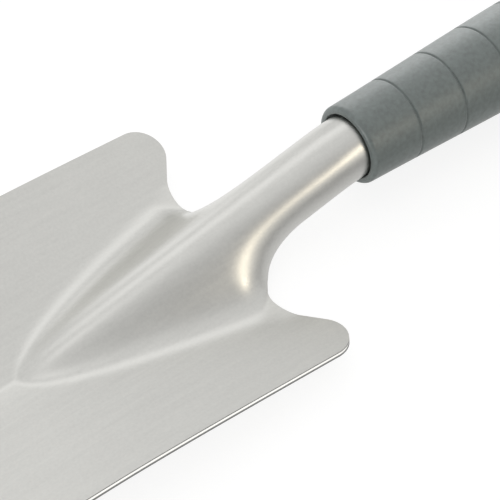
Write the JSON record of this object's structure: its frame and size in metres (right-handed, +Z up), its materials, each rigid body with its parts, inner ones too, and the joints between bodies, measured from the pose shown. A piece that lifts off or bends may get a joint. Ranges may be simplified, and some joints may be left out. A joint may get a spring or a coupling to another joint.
{
  "type": "hand trowel",
  "caption": "Hand trowel: pressed steel scoop blade with a raised rib running into a rolled tubular neck, in a ringed plastic grip with a hanging hole.",
  "frame": {"origin": "centre of the bounding box's lowest face: the trowel lies on the underside of its blade, at z = 0, with its handle level", "axes": "+X along the handle, from the blade's point towards the hanging hole; +Y towards the left wing seen from behind the grip with the scoop up, that is to the side; +Z up, out of the scoop's open side"},
  "size_m": [0.3102, 0.0818, 0.0287],
  "materials": {
    "blade_steel": "satin, with a fine even grain",
    "grip_plastic": "soft sheen moulded grey-green",
    "core_plastic": "plain moulded",
    "pin_steel": "bright drawn",
    "cap_plastic": "soft sheen moulded grey-green"
  },
  "bodies": {
    "root": {"blade": "blade_steel", "grip": "grip_plastic", "tang_plug": "core_plastic", "retaining_pin": "pin_steel", "end_cap": "cap_plastic"}
  },
  "joints": []
}
